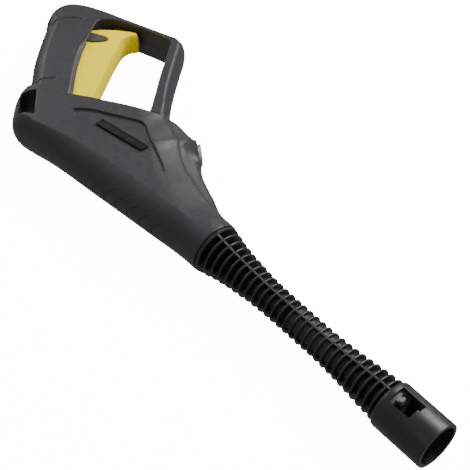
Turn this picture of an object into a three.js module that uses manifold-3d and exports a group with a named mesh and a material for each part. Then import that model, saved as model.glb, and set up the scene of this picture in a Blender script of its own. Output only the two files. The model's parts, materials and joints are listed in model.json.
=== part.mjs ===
// High-pressure washer trigger gun, lying on its right side.
// X runs along the barrel (muzzle at +X), Y points to the D-handle, Z is up,
// out of the gun's left side. Millimetres.
import * as THREE from 'three';
import { mergeVertices } from 'three/addons/utils/BufferGeometryUtils.js';
import Module from 'manifold-3d';

const wasm = await Module();
wasm.setup();

// ---------------------------------------------------------------- dimensions
// Gun frame: muzzle plane at x = 0, barrel axis on y = 0, z = 0, and the
// parting plane of the two housing halves at z = 0.
const BODY_HW = 20.5;        // half width of the body at its side panels
const LOOP_HW = 16.5;        // half width of the grip and of the guard
const LOOP_ROUND = 5;
const WALL = 2.8;            // housing wall
const SEAM = 0.1;            // each half stops this far from the parting plane
const GRIP_IN_HW = 13.9;     // half width inside the grip
const SLOT_HW = 11.3;        // half width of the trigger's slot
const TRIG_HW = 10.5;        // half width of the trigger
const PIVOT = [-386, 14];    // trigger hinge, axis along Z
const PIN_R = 2.5;
const COLLAR_R = 19;         // lance socket outside
const SOCKET_R = 15.8;       // lance socket inside
const SOCKET_DEPTH = 46;
const RIB_PITCH = 6.45;
const RIB_COUNT = 27;
const RIB_FIRST = -217.2;
const PIPE_R = 5;            // pressure pipe outside
const INLET_FACE = [-305.5, 51.8];  // centre of the hose inlet's outer face
const INLET_DIR = [0.545, 0.838];   // way out of the hose inlet
const FRAME_SHIFT = [254.15, -38.65, 20.6]; // puts the origin under the middle of the box

const ribRadius = (x) => {
  const t = [[-222, 20.5], [-211, 17.9], [-200, 16], [-190, 15], [-180, 13.8], [-170, 13.1], [-155, 12.7], [-115, 12.6], [-103, 12.9], [-90, 13.7], [-80, 14.5], [-72, 15.3], [-63, 16.2], [-49, 17.3]];
  if (x <= t[0][0]) return t[0][1];
  for (let i = 1; i < t.length; i++) {
    if (x <= t[i][0]) {
      const k = (x - t[i - 1][0]) / (t[i][0] - t[i - 1][0]);
      return t[i - 1][1] + k * (t[i][1] - t[i - 1][1]);
    }
  }
  return t[t.length - 1][1];
};

// ------------------------------------------------------------------ outlines
// Body seen from its left side, at the parting plane.
const BODY = [
  [-205, -20], [-227, -21.5], [-252, -22.9], [-272, -25.2], [-293, -27.7], [-315, -30.2], [-337, -32.7],
  [-360, -34.8], [-380, -36.9], [-396, -39.2], [-408, -41.4], [-417, -42.9], [-424, -42], [-430, -38.2],
  [-436.5, -32.4], [-442.5, -26.2], [-447.2, -20], [-450.4, -14], [-451.6, -8.5], [-450.4, -4.5], [-446, -3.4],
  [-438, -4.4], [-431.5, -4.6], [-424.5, 1], [-415.5, 7], [-404, 14.4], [-390, 24], [-376, 33.2], [-361, 42.4], [-350, 50.5],
  [-344, 57], [-337, 58.6], [-325, 58], [-313.5, 57], [-297.5, 46.3], [-283, 37.5], [-272, 33], [-262, 29.5],
  [-250, 26.2], [-240, 23.7], [-227, 21.5], [-205, 20],
];
// Grip, pommel, base bar and front leg: the D-handle's outer line.
const LOOP = [
  [-400, -20], [-436, -18], [-446, -13], [-450.5, -5.5], [-456.5, 0.5], [-463, 6.3], [-470, 13], [-480, 24.3], [-489, 35], [-497, 45.2],
  [-502.5, 51.2], [-506.6, 58], [-508.3, 65.5], [-507.2, 73], [-502.8, 80.4], [-494.5, 87.2], [-484, 92.6], [-471.7, 97.6],
  [-457, 102.8], [-443.3, 107.8], [-430, 112.8], [-416.1, 118], [-409, 120.2], [-403.2, 119.6], [-397.3, 115],
  [-390, 105.5], [-379, 91.5], [-368, 78], [-359, 68], [-351, 60], [-343, 50], [-330, 30], [-350, 0],
];
// The finger opening inside the D-handle. Its base follows the trigger's foot.
const OPENING = [[-408, 2], [-416, 13.3], [-428.5, 25.5], [-440.5, 38.4], [-450.7, 51.4], [-461, 67], [-467, 77.5],
  [-467.6, 82], [-463.5, 87.6], [-457, 92], [-448, 96.6], [-438, 100.8], [-427, 104.4], [-416, 107.8], [-410, 109.4],
  [-407, 108.6], [-399, 98.6], [-390, 86.5], [-383, 77], [-375, 67.5], [-366.5, 57], [-358, 46], [-352, 32], [-375, 10]];
// Slot in the body's rear corner, right through both halves.
const REAR_SLOT = [[-431.5, -10.5], [-411.5, -27.5], [-422.5, -36], [-442.5, -19]];
// The trigger, from its nose over the hinge, down the front face to the foot.
const TRIGGER = [
  [-379.4, -4.5], [-379.4, 5.5], [-376.6, 11], [-376.8, 18], [-381, 23], [-388, 24.4], [-395, 22.6],
  [-400, 23.4], [-404.5, 28], [-409, 34], [-414, 41], [-419.8, 50], [-426.5, 60.5], [-432, 70], [-436.6, 78.3],
  [-438.8, 84.5], [-438.2, 90], [-435.8, 94.2], [-435.4, 96.6], [-437.2, 98.4],
];
for (const a of [123, 127, 131, 135, 139, 143, 146.5]) {
  TRIGGER.push([PIVOT[0] + 100 * Math.cos(a * Math.PI / 180), PIVOT[1] + 100 * Math.sin(a * Math.PI / 180)]);
}
TRIGGER.push([-471, 62], [-462.5, 48.5], [-452, 35], [-441, 21.5], [-430, 11.5], [-418, 4.2], [-404, -1.5], [-392, -5.6]);
const LOCK = [[-470, 64.5], [-464.2, 68.8], [-457, 72.9], [-451.5, 75.2], [-447.6, 74.6], [-448.6, 71], [-453, 64.4], [-458, 60], [-464.5, 55.2]];
const BADGE = [[-372, 9.2], [-324.6, 18], [-325.6, 10.8], [-371, 2.2]];
const SIDE_TRIANGLE = [[-395, -0.5], [-386, 8.5], [-371, 17.3], [-356.5, 26], [-349, 30], [-344, 30], [-331, 24.3], [-309, 16.3], [-297, 11], [-299, 9.3], [-321, 6.4], [-341, 2], [-361, -1.6], [-379, -5.2], [-391, -4.4]];
const SCREWS = [[-494, 75], [-402.4, 113.4], [-402, -25.5], [-338, -25], [-351, 38], [-262, 17.5], [-262, -14.5]];

// ------------------------------------------------------------------- helpers
function solid(geometry) {
  const g0 = geometry.index ? geometry.clone() : geometry.clone();
  g0.deleteAttribute('normal');
  g0.deleteAttribute('uv');
  const g = mergeVertices(g0, 1e-4);
  const pos = g.attributes.position.array;
  let idx = Array.from(g.index.array);
  const keep = [];
  for (let i = 0; i < idx.length; i += 3) {
    if (idx[i] !== idx[i + 1] && idx[i + 1] !== idx[i + 2] && idx[i] !== idx[i + 2]) keep.push(idx[i], idx[i + 1], idx[i + 2]);
  }
  let vol = 0;
  for (let i = 0; i < keep.length; i += 3) {
    const [a, b, c] = [keep[i] * 3, keep[i + 1] * 3, keep[i + 2] * 3];
    vol += pos[a] * (pos[b + 1] * pos[c + 2] - pos[b + 2] * pos[c + 1])
      - pos[a + 1] * (pos[b] * pos[c + 2] - pos[b + 2] * pos[c])
      + pos[a + 2] * (pos[b] * pos[c + 1] - pos[b + 1] * pos[c]);
  }
  if (vol < 0) for (let i = 0; i < keep.length; i += 3) [keep[i + 1], keep[i + 2]] = [keep[i + 2], keep[i + 1]];
  const m = new wasm.Mesh({ numProp: 3, vertProperties: new Float32Array(pos), triVerts: new Uint32Array(keep) });
  m.merge();
  return new wasm.Manifold(m);
}
function geometryOf(manifold) {
  const mesh = manifold.getMesh();
  const g = new THREE.BufferGeometry();
  g.setAttribute('position', new THREE.BufferAttribute(new Float32Array(mesh.vertProperties), 3));
  g.setIndex(new THREE.BufferAttribute(new Uint32Array(mesh.triVerts), 1));
  g.computeVertexNormals();
  return g;
}
function shapeOf(points, holes = []) {
  const s = new THREE.Shape(points.map((p) => new THREE.Vector2(p[0], p[1])));
  for (const h of holes) s.holes.push(new THREE.Path(h.map((p) => new THREE.Vector2(p[0], p[1]))));
  return s;
}
// A plate of the outline from z0 to z1, with rounded rims of the given size.
function plate(points, z0, z1, round = 0, steps = 2, holes = []) {
  const g = new THREE.ExtrudeGeometry(shapeOf(points, holes), round > 0
    ? { depth: z1 - z0 - 2 * round, bevelEnabled: true, bevelThickness: round, bevelSize: round, bevelOffset: -round, bevelSegments: steps, curveSegments: 6 }
    : { depth: z1 - z0, bevelEnabled: false, curveSegments: 6 });
  g.translate(0, 0, z0 + round);
  return solid(g);
}
const area = (p) => p.reduce((s, a, i) => { const b = p[(i + 1) % p.length]; return s + a[0] * b[1] - b[0] * a[1]; }, 0) / 2;
// Moves an outline inwards by d (outwards when d is negative).
function inset(points, d) {
  const s = area(points) > 0 ? 1 : -1;
  return points.map((p, i) => {
    const a = points[(i + points.length - 1) % points.length];
    const b = points[(i + 1) % points.length];
    const u = new THREE.Vector2(p[0] - a[0], p[1] - a[1]).normalize();
    const v = new THREE.Vector2(b[0] - p[0], b[1] - p[1]).normalize();
    const n = new THREE.Vector2(-(u.y + v.y), u.x + v.x).normalize();
    const k = Math.max(0.5, Math.abs(-n.x * u.y + n.y * u.x));
    return [p[0] + s * d * n.x / k, p[1] + s * d * n.y / k];
  });
}
function rod(from, to, r, sides = 16, r2 = r) {
  const a = new THREE.Vector3(...from);
  const b = new THREE.Vector3(...to);
  const g = new THREE.CylinderGeometry(r2, r, a.distanceTo(b), sides);
  g.applyQuaternion(new THREE.Quaternion().setFromUnitVectors(new THREE.Vector3(0, 1, 0), b.clone().sub(a).normalize()));
  const mid = a.add(b).multiplyScalar(0.5);
  g.translate(mid.x, mid.y, mid.z);
  return solid(g);
}
function box(x0, x1, y0, y1, z0, z1) {
  const g = new THREE.BoxGeometry(x1 - x0, y1 - y0, z1 - z0);
  g.translate((x0 + x1) / 2, (y0 + y1) / 2, (z0 + z1) / 2);
  return solid(g);
}
// A turned piece about the barrel axis; the profile is [x, r] pairs.
function turned(profile, sides = 24, y = 0) {
  const pts = profile.map((p) => new THREE.Vector2(p[1], p[0]));
  if (profile[0][1] > 1e-6 || profile[profile.length - 1][1] > 1e-6) pts.push(pts[0].clone());
  const g = new THREE.LatheGeometry(pts, sides);
  g.rotateZ(-Math.PI / 2);
  g.translate(0, y, 0);
  return solid(g);
}
// The same about any axis, given by a point and a direction.
function turnedAt(profile, sides, origin, dir) {
  const pts = profile.map((p) => new THREE.Vector2(p[1], p[0]));
  if (profile[0][1] > 1e-6 || profile[profile.length - 1][1] > 1e-6) pts.push(pts[0].clone());
  const g = new THREE.LatheGeometry(pts, sides);
  g.applyQuaternion(new THREE.Quaternion().setFromUnitVectors(new THREE.Vector3(0, 1, 0), new THREE.Vector3(...dir).normalize()));
  g.translate(...origin);
  return solid(g);
}
function oring(ringR, wire, centre, dir, sides = 20) {
  const g = new THREE.TorusGeometry(ringR, wire, 6, sides);
  g.applyQuaternion(new THREE.Quaternion().setFromUnitVectors(new THREE.Vector3(0, 0, 1), new THREE.Vector3(...dir).normalize()));
  g.translate(...centre);
  return solid(g);
}
class Helix extends THREE.Curve {
  constructor(r, length, turns) { super(); this.r = r; this.length = length; this.turns = turns; }
  getPoint(t, out = new THREE.Vector3()) {
    const a = 2 * Math.PI * this.turns * t;
    return out.set(this.length * t, this.r * Math.cos(a), this.r * Math.sin(a));
  }
}
function coil(r, wire, length, turns, stepsPerTurn = 9) {
  const s = new THREE.Shape();
  const n = 6;
  for (let i = 0; i <= n; i++) {
    const a = 2 * Math.PI * i / n;
    if (i === 0) s.moveTo(wire, 0); else if (i < n) s.lineTo(wire * Math.cos(a), wire * Math.sin(a));
  }
  s.closePath();
  return new THREE.ExtrudeGeometry(s, { steps: Math.round(turns * stepsPerTurn), extrudePath: new Helix(r, length, turns) });
}

// ------------------------------------------------------------------ housings
// Rounding of the body across its width: a section in (distance from an edge
// line, half width), run along that line. d moves it inwards.
function rounding(section, from, to, d) {
  const dx = to[0] - from[0];
  const dy = to[1] - from[1];
  const len = Math.hypot(dx, dy) + 600;
  const half = section.map(([v, z]) => [v + d, Math.max(z - d, 0.4)]);
  const outline = [...half.map(([v, z]) => [v, z]), [260, half[half.length - 1][1]], [260, -half[half.length - 1][1]],
    ...half.map(([v, z]) => [v, -z]).reverse()];
  const g = new THREE.ExtrudeGeometry(shapeOf(outline), { depth: len, bevelEnabled: false });
  // shape x -> inward normal, shape y -> Z, extrusion -> along the line
  const t = new THREE.Vector3(dx, dy, 0).normalize();
  const up = new THREE.Vector3(0, 0, 1);
  const n = new THREE.Vector3().crossVectors(up, t);
  const m = new THREE.Matrix4().makeBasis(n, up, t);
  m.setPosition(from[0] - 300 * t.x, from[1] - 300 * t.y, 0);
  g.applyMatrix4(m);
  return solid(g);
}
const TOP_SECTION = [[-2, 3], [0.4, 6.5], [2.6, 11.5], [6.5, 16], [12, 19.3], [18, BODY_HW]];
const KEEL_SECTION = [[-2, 4], [0.6, 8], [4, 12.2], [9, 15.8], [12, 17.6], [20, BODY_HW]];
const topRound = (d) => rounding(TOP_SECTION, [-430, -44.4], [-226, -21.6], d);
const keelRound = (d) => rounding(KEEL_SECTION, [-226, 21.5], [-338, 59], d);
const outer = plate(BODY, -BODY_HW, BODY_HW)
  .intersect(topRound(0))
  .intersect(keelRound(0))
  .add(plate(LOOP, -LOOP_HW, LOOP_HW, LOOP_ROUND, 2).subtract(plate(OPENING, -40, 40)));
// Inside of the body, closed by the front wall.
const bodyCavity = plate(inset(BODY, WALL), -BODY_HW + WALL, BODY_HW - WALL)
  .intersect(topRound(WALL))
  .intersect(keelRound(WALL))
  .subtract(box(-229.6, -190, -40, 40, -40, 40));
const loopCavity = plate(inset(LOOP, WALL + 1), -GRIP_IN_HW, GRIP_IN_HW, 2, 1)
  .subtract(plate(inset(OPENING, -WALL), -30, 30));
// The way of the trigger: through the body's lower wall and the grip's front.
const TRIGGER_WAY = [[-380, 8], [-382.4, 24.4], [-389.5, 30], [-400, 32], [-424, 30], [-440, 42], [-455, 63], [-464, 76],
  [-475, 78], [-484, 66], [-486, 50], [-474, 34], [-455, 14], [-440, 4], [-420, -4]];
const triggerWay = plate(TRIGGER_WAY, -SLOT_HW, SLOT_HW);
// Room for the lock's ends as the trigger swings.
const LOCK_WAY = [[-446, 69], [-446.2, 76.5], [-451, 77.6], [-458, 75.6], [-466, 71.4], [-472.5, 67], [-481, 52.5], [-481, 45.5], [-473, 38], [-465.5, 42], [-457.5, 54], [-451.5, 61]];
const lockWay = plate(LOCK_WAY, -GRIP_IN_HW, GRIP_IN_HW);
const cavity = bodyCavity.add(loopCavity).add(triggerWay).add(lockWay);
const slotWall = plate(inset(REAR_SLOT, -2.2), -BODY_HW + 1, BODY_HW - 1).intersect(outer);
const slotCut = plate(REAR_SLOT, -40, 40);

const frontLip = turned([[-229.6, 14.9], [-229.6, 19], [-226, 19], [-226, 14.9]], 24);
const inletOut = [INLET_FACE[0] + 30 * INLET_DIR[0], INLET_FACE[1] + 30 * INLET_DIR[1], 0];
const inletIn = [INLET_FACE[0] - 30 * INLET_DIR[0], INLET_FACE[1] - 30 * INLET_DIR[1], 0];

// A rib across one half, cut round for what it carries.
const ribs = box(-349, -347, -28, 30, -18.5, 18.5)
  .add(box(-311, -309, -26, 26, -18.5, 18.5))
  .add(box(-275, -273, -22, 28, -18.5, 18.5))
  .add(box(-245, -243, -19, 22, -18, 18))
  .intersect(outer)
  .subtract(turned([[-360, 0], [-360, 11.5], [-300, 11.5], [-300, 0]], 24, 0))
  .subtract(rod([-330, -12.5, 0], [-290, -12.5, 0], 6.2, 12))
  .subtract(rod([-300, -12.5, 0], [-262, 0, 0], 8.2, 16))
  .subtract(rod([-276, 0, 0], [-230, 0, 0], 5.4, 20))
  .subtract(rod(inletIn, [INLET_FACE[0], INLET_FACE[1], 0], 13, 20));
const inletHub = rod([INLET_FACE[0] - 25 * INLET_DIR[0], INLET_FACE[1] - 26 * INLET_DIR[1], 0], [INLET_FACE[0] - 0.6 * INLET_DIR[0], INLET_FACE[1] - 0.6 * INLET_DIR[1], 0], 12.2, 24);
let bosses = null;
for (const [x, y] of SCREWS) {
  const b = rod([x, y, -19], [x, y, 19], 4, 10);
  bosses = bosses ? bosses.add(b) : b;
}
const pivotBosses = rod([PIVOT[0], PIVOT[1], 11.6], [PIVOT[0], PIVOT[1], 19], 5.4, 16)
  .add(rod([PIVOT[0], PIVOT[1], -19], [PIVOT[0], PIVOT[1], -11.6], 5.4, 16));

const frontCut = box(-226, -150, -60, 60, -60, 60);
const beyondInlet = rod([INLET_FACE[0] - 0.6 * INLET_DIR[0], INLET_FACE[1] - 0.6 * INLET_DIR[1], 0], inletOut, 15, 24);
const trianglePocket = plate(SIDE_TRIANGLE, BODY_HW - 1.4, 40).add(plate(SIDE_TRIANGLE, -40, -BODY_HW + 1.4));
// Room that the valve, its gland and its inlet branch take out of the ribs and bosses.
const along = (d) => [INLET_FACE[0] + d * INLET_DIR[0], INLET_FACE[1] + d * INLET_DIR[1], 0];
const valveRoom = turned([[-380, 0], [-380, 4.2], [-370.5, 4.2], [-370.5, 9.6], [-366.3, 10.9], [-311.6, 10.9], [-311.6, 0]], 16)
  .add(box(-352.4, -323.6, -18.9, 4.4, -8.4, 8.4))
  .add(rod(along(-57), along(-25.5), 11.4, 16))
  .add(rod([-330, -12.5, 0], [-298, -12.5, 0], 5.6, 12));
const base = outer.subtract(cavity)
  .add(slotWall)
  .add(frontLip)
  .add(ribs)
  .add(inletHub.intersect(outer))
  .add(bosses.intersect(outer))
  .add(pivotBosses)
  .subtract(valveRoom)
  .subtract(frontCut)
  .subtract(beyondInlet)
  .subtract(slotCut)
  .subtract(trianglePocket)
  .subtract(rod([INLET_FACE[0] - 45 * INLET_DIR[0], INLET_FACE[1] - 45 * INLET_DIR[1], 0], inletOut, 9.35, 24))
  .subtract(rod([PIVOT[0], PIVOT[1], -15.3], [PIVOT[0], PIVOT[1], 15.3], PIN_R + 0.1, 16))
  .subtract(turned([[-240, 0], [-240, 14.9], [-200, 14.9], [-200, 0]], 24))
  .subtract(turned([[-241.4, 0], [-241.4, 17.4], [-229.6, 17.4], [-229.6, 0]], 24));
let leftCuts = null;
let rightCuts = null;
for (const [x, y] of SCREWS) {
  const l = rod([x, y, -1], [x, y, 12], 1.55, 8);
  const top = Math.hypot(x + 257, y) < 25 ? 9 : 10;
  const r = rod([x, y, -40], [x, y, 1], 1.9, 8).add(rod([x, y, -40], [x, y, -top], 3.7, 12));
  leftCuts = leftCuts ? leftCuts.add(l) : l;
  rightCuts = rightCuts ? rightCuts.add(r) : r;
}
const leftShell = base.intersect(box(-600, 50, -100, 200, SEAM, 40)).subtract(leftCuts);
const rightShell = base.intersect(box(-600, 50, -100, 200, -40, -SEAM)).subtract(rightCuts);

// -------------------------------------------------------------------- barrel
const barrelProfile = [[-241, 5.6], [-241, 17], [-230, 17], [-230, 14.5], [-225.6, 14.5], [-225.6, 20.6], [-222.6, 20.6]];
for (let i = 0; i < RIB_COUNT; i++) {
  const x = RIB_FIRST + RIB_PITCH * i;
  const r = ribRadius(x);
  const core = x < -146 ? 8.6 : Math.min(10.4, r - 2);
  if (i === 0) barrelProfile.push([-222.6, core]);
  barrelProfile.push([x - 1.05, core], [x - 1.05, r], [x + 1.05, r], [x + 1.05, core]);
}
barrelProfile.push([-46.6, 10.4], [-46.6, 17.8], [-44.5, COLLAR_R], [0, COLLAR_R], [0, SOCKET_R], [-SOCKET_DEPTH + 3, SOCKET_R], [-SOCKET_DEPTH + 3, 9.2], [-62, 9.2], [-62, 5.6]);
let barrel = turned(barrelProfile, 14);
for (const a of [0, 90, 180, 270]) {
  const top = [];
  for (const x of [-222.8, -211, -200, -190, -180, -170, -155, -115, -103, -90, -80, -63, -46.4]) top.push([x, ribRadius(x) - 0.8]);
  const web = new THREE.ExtrudeGeometry(shapeOf([[-222.8, 7.5], ...top, [-46.4, 9.5]]), { depth: 1.8, bevelEnabled: false });
  web.translate(0, 0, -0.9);
  web.rotateX(a * Math.PI / 180);
  barrel = barrel.add(solid(web));
}
const windowCut = box(-41, -20, -7.8, 7.8, 8, 30).add(box(-41, -20, -7.8, 7.8, -30, -8));
barrel = barrel.subtract(windowCut);

// ------------------------------------------------------------------- trigger
const hub = rod([PIVOT[0], PIVOT[1], -TRIG_HW], [PIVOT[0], PIVOT[1], TRIG_HW], 8.4, 20);
const hollow = plate([[-398, 14], [-407.5, 28], [-412.5, 36], [-418, 44.5], [-424.5, 55], [-430.5, 65], [-436, 74.5], [-440.4, 82.5], [-441.2, 90], [-447, 89.4], [-455, 82.5], [-470, 73], [-488, 66], [-470, 40], [-440, 8], [-420, -6], [-404, 4]],
  -TRIG_HW + 2.2, TRIG_HW - 2.2);
let triggerBody = plate(TRIGGER, -TRIG_HW, TRIG_HW, 0.8, 1).subtract(hollow).add(hub)
  .add(plate(inset(LOCK, -2.2), -TRIG_HW, TRIG_HW));
triggerBody = triggerBody
  .subtract(rod([PIVOT[0], PIVOT[1], -30], [PIVOT[0], PIVOT[1], 30], PIN_R + 0.1, 16))
  .subtract(plate(inset(LOCK, -0.3), -30, 30));
const pivotPin = rod([PIVOT[0], PIVOT[1], -15], [PIVOT[0], PIVOT[1], 15], PIN_R, 16);
const lockBody = plate(LOCK, -TRIG_HW - 0.4, TRIG_HW + 0.5, 0.5, 1);

// Torsion spring round the hinge, beside the trigger.
const springCoil = coil(6.6, 0.5, 2.6, 2.25, 9);
springCoil.rotateY(-Math.PI / 2);

// --------------------------------------------------------------------- valve
const VX0 = -366;
const VX1 = -316;
let valveBody = turned([[VX0, 0], [VX0, 10.5], [VX1, 10.5], [VX1, 0]], 16)
  .add(box(-352, -324, -18.5, 4, -8, 8))
  .add(rod(along(-57), along(-26), 11, 16));
valveBody = valveBody
  .subtract(turned([[VX0 - 1, 0], [VX0 - 1, 7.2], [-356, 7.2], [-356, 3.6], [-346, 3.6], [-346, 6.2], [-324, 6.2], [-324, 7.6], [VX1 + 1, 7.6], [VX1 + 1, 0]], 16))
  .subtract(rod([-349, -12.5, 0], [-310, -12.5, 0], 3.2, 10))
  .subtract(rod([-349, -12.5, 0], [-349, -1, 0], 1.8, 10))
  .subtract(rod([-328, -12.5, 0], [-310, -12.5, 0], PIPE_R + 0.4, 12))
  .subtract(rod(along(-60), along(-20), 4.5, 12))
  .subtract(rod(along(-34), along(-20), 8.2, 16));
const gland = turned([[-370, 2.3], [-370, 9.2], [-366.4, 9.2], [-366.4, 6.9], [-359.4, 6.9], [-359.4, 2.3]], 12);
const pinSeal = oring(4.0, 1.1, [-357.8, 0, 0], [1, 0, 0], 14);
const pushPin = turned([[-378.6, 0], [-378.6, 3.6], [-375.6, 3.6], [-375.6, 2], [-342.8, 2], [-342.8, 0]], 12);
const seat = turned([[-345.7, 2.6], [-345.7, 5.9], [-341, 5.9], [-341, 3.6], [-342, 2.6]], 16);
const BALL_R = 3.9;
const BALL_X = -338.6;
const ballG = new THREE.SphereGeometry(BALL_R, 12, 8);
ballG.translate(BALL_X, 0, 0);
const ball = solid(ballG);
const valveSpringG = coil(3.3, 0.5, 9.8, 5, 7);
valveSpringG.translate(-334.2, 0, 0);
const plug = turned([[-323.6, 0], [-323.6, 7.2], [-312, 7.2], [-312, 0]], 14)
  .subtract(turned([[-321.4, 5.7], [-321.4, 7.6], [-318.6, 7.6], [-318.6, 5.7]], 14))
  .subtract(rod([-315, 0, 0], [-311, 0, 0], 3, 6));
const plugRing = oring(6.5, 0.7, [-320, 0, 0], [1, 0, 0], 14);

// Hose inlet socket, from the valve to the outside of the bulge.
const dir3 = [INLET_DIR[0], INLET_DIR[1], 0];
const inletSocket = turnedAt([[-32.5, 3.6], [-32.5, 7.9], [-22, 7.9], [-22, 9], [2.2, 9], [2.2, 6.6], [-18, 6.6], [-18, 3.6]], 20, [INLET_FACE[0], INLET_FACE[1], 0], dir3)
  .subtract(turnedAt([[-29.4, 6.6], [-29.4, 8.5], [-26.6, 8.5], [-26.6, 6.6]], 20, [INLET_FACE[0], INLET_FACE[1], 0], dir3));
const inletRing = oring(7.45, 0.6, along(-28), dir3, 14);

// Pressure pipe: out of the valve, a slight bend, and along the barrel.
const pipePath = new THREE.CatmullRomCurve3([
  new THREE.Vector3(-327, -12.5, 0), new THREE.Vector3(-316, -12.5, 0), new THREE.Vector3(-304, -11.9, 0), new THREE.Vector3(-290, -7.6, 0),
  new THREE.Vector3(-277, -2, 0), new THREE.Vector3(-265, 0, 0), new THREE.Vector3(-250, 0, 0), new THREE.Vector3(-160, 0, 0), new THREE.Vector3(-62.6, 0, 0)], false, 'centripetal');
function tubeAlong(points, r, sides) {
  const s = new THREE.Shape();
  for (let i = 0; i < sides; i++) {
    const a = 2 * Math.PI * i / sides;
    if (i === 0) s.moveTo(r, 0); else s.lineTo(r * Math.cos(a), r * Math.sin(a));
  }
  s.closePath();
  return solid(new THREE.ExtrudeGeometry(s, { steps: points, extrudePath: pipePath }));
}
const pipe = tubeAlong(22, PIPE_R, 10)
  .subtract(rod([-90, 0, 0], [-50, 0, 0], 3, 12))
  .subtract(rod([-340, -12.5, 0], [-310, -12.5, 0], 3, 10));
const pipeRing = turned([[-327.9, 3.6], [-327.9, 5.2], [-327.2, 5.2], [-327.2, 3.6]], 12, -12.5);
const lanceSeat = turned([[-61.6, 5.4], [-61.6, 8.8], [-44, 8.8], [-44, 7.2], [-56, 7.2], [-56, 5.4]], 20);
const lanceRing = oring(6.1, 1.0, [-54.6, 0, 0], [1, 0, 0], 14);
// Bayonet insert at the bottom of the lance socket, with a tongue under each window.
const insert = turned([[-42.6, 9.6], [-42.6, 15.4], [-38.5, 15.4], [-38.5, 9.6]], 24)
  .add(box(-39, -33.5, -2.2, 2.2, 12.2, 15))
  .add(box(-39, -33.5, -2.2, 2.2, -15, -12.2))
  .add(box(-36, -33.6, -2.2, 2.2, 14, 17.4))
  .add(box(-36, -33.6, -2.2, 2.2, -17.4, -14));

const badge = plate(BADGE, BODY_HW - 1.3, BODY_HW - 0.1, 0.25, 1);

// --------------------------------------------------------------------- scene
const root = new THREE.Group();
root.name = 'trigger_gun';
root.position.set(...FRAME_SHIFT);
function add(name, geometry, color, roughness, metalness = 0) {
  const g = geometry.isBufferGeometry ? geometry : geometryOf(geometry);
  const mesh = new THREE.Mesh(g, new THREE.MeshStandardMaterial({ color, roughness, metalness }));
  mesh.name = name;
  root.add(mesh);
  return mesh;
}
const GREY = 0x4a4a4d;
const BLACK = 0x222224;
const YELLOW = 0xf5dc2e;
const BRASS = 0xb8924a;
const STEEL = 0xb9bcc0;
const RUBBER = 0x161616;
add('left_housing_shell', leftShell, GREY, 0.55);
add('right_housing_shell', rightShell, GREY, 0.55);
add('ribbed_barrel', barrel, BLACK, 0.5);
add('trigger', triggerBody, YELLOW, 0.4);
add('trigger_pivot_pin', pivotPin, STEEL, 0.3, 1);
const tSpring = add('trigger_return_spring', geometryOf(solid(springCoil)), STEEL, 0.35, 1);
tSpring.position.set(PIVOT[0], PIVOT[1], 11.1);
add('safety_lock', lockBody, 0x77777a, 0.5);
add('valve_body', valveBody, BRASS, 0.4, 1);
add('gland_nut', gland, BRASS, 0.35, 1);
add('push_pin_seal', pinSeal, RUBBER, 0.8);
add('push_pin', pushPin, STEEL, 0.3, 1);
add('valve_seat', seat, STEEL, 0.3, 1);
add('valve_ball', ball, STEEL, 0.15, 1);
add('valve_spring', geometryOf(solid(valveSpringG)), STEEL, 0.35, 1);
add('valve_plug', plug, BRASS, 0.35, 1);
add('valve_plug_ring', plugRing, RUBBER, 0.8);
add('hose_inlet_socket', inletSocket, BRASS, 0.35, 1);
add('hose_inlet_ring', inletRing, RUBBER, 0.8);
add('pressure_pipe', pipe, STEEL, 0.3, 1);
add('pipe_joint_ring', pipeRing, RUBBER, 0.8);
add('lance_seat', lanceSeat, BRASS, 0.35, 1);
add('lance_seat_ring', lanceRing, RUBBER, 0.8);
add('bayonet_insert', insert, 0x8a8a8c, 0.5);
add('badge_plate', badge, 0x1b1b1d, 0.35);
SCREWS.forEach(([x, y], i) => {
  const top = Math.hypot(x + 257, y) < 25 ? 9 : 10;
  const s = rod([x, y, -top - 0.2], [x, y, 10.5], 1.4, 8)
    .add(rod([x, y, -top - 2.6], [x, y, -top - 0.2], 3.3, 12))
    .subtract(rod([x, y, -top - 4], [x, y, -top - 1.2], 1.3, 6));
  add(`housing_screw_${i + 1}`, s, STEEL, 0.35, 1);
});

export default root;
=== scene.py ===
import json
import math
import bpy
import bmesh
import numpy as np
from mathutils import Matrix, Vector


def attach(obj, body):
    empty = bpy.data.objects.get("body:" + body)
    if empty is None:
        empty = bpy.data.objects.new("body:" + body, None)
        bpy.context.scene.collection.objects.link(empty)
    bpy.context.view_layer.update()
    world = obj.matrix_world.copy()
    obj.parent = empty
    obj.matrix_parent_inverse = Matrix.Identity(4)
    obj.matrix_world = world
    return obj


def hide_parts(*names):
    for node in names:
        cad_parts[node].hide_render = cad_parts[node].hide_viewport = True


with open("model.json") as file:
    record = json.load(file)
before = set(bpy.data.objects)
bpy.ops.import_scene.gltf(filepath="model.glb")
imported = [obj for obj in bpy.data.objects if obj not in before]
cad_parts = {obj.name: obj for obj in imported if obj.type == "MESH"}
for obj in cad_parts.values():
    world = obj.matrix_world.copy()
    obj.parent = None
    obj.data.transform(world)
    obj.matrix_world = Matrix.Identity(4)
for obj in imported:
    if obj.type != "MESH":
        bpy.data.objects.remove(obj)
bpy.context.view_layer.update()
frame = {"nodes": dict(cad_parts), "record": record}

# Everything below is laid out in millimetres in the gun's own frame: the lance
# socket's mouth at x = 0, the barrel on the x axis, the parting plane at z = 0.
SHIFT = np.array([254.15, -38.65, 20.6])
STEP = 0.62


def to_row(p):
    return (np.asarray(p, float) + SHIFT) / 1000.0


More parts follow.
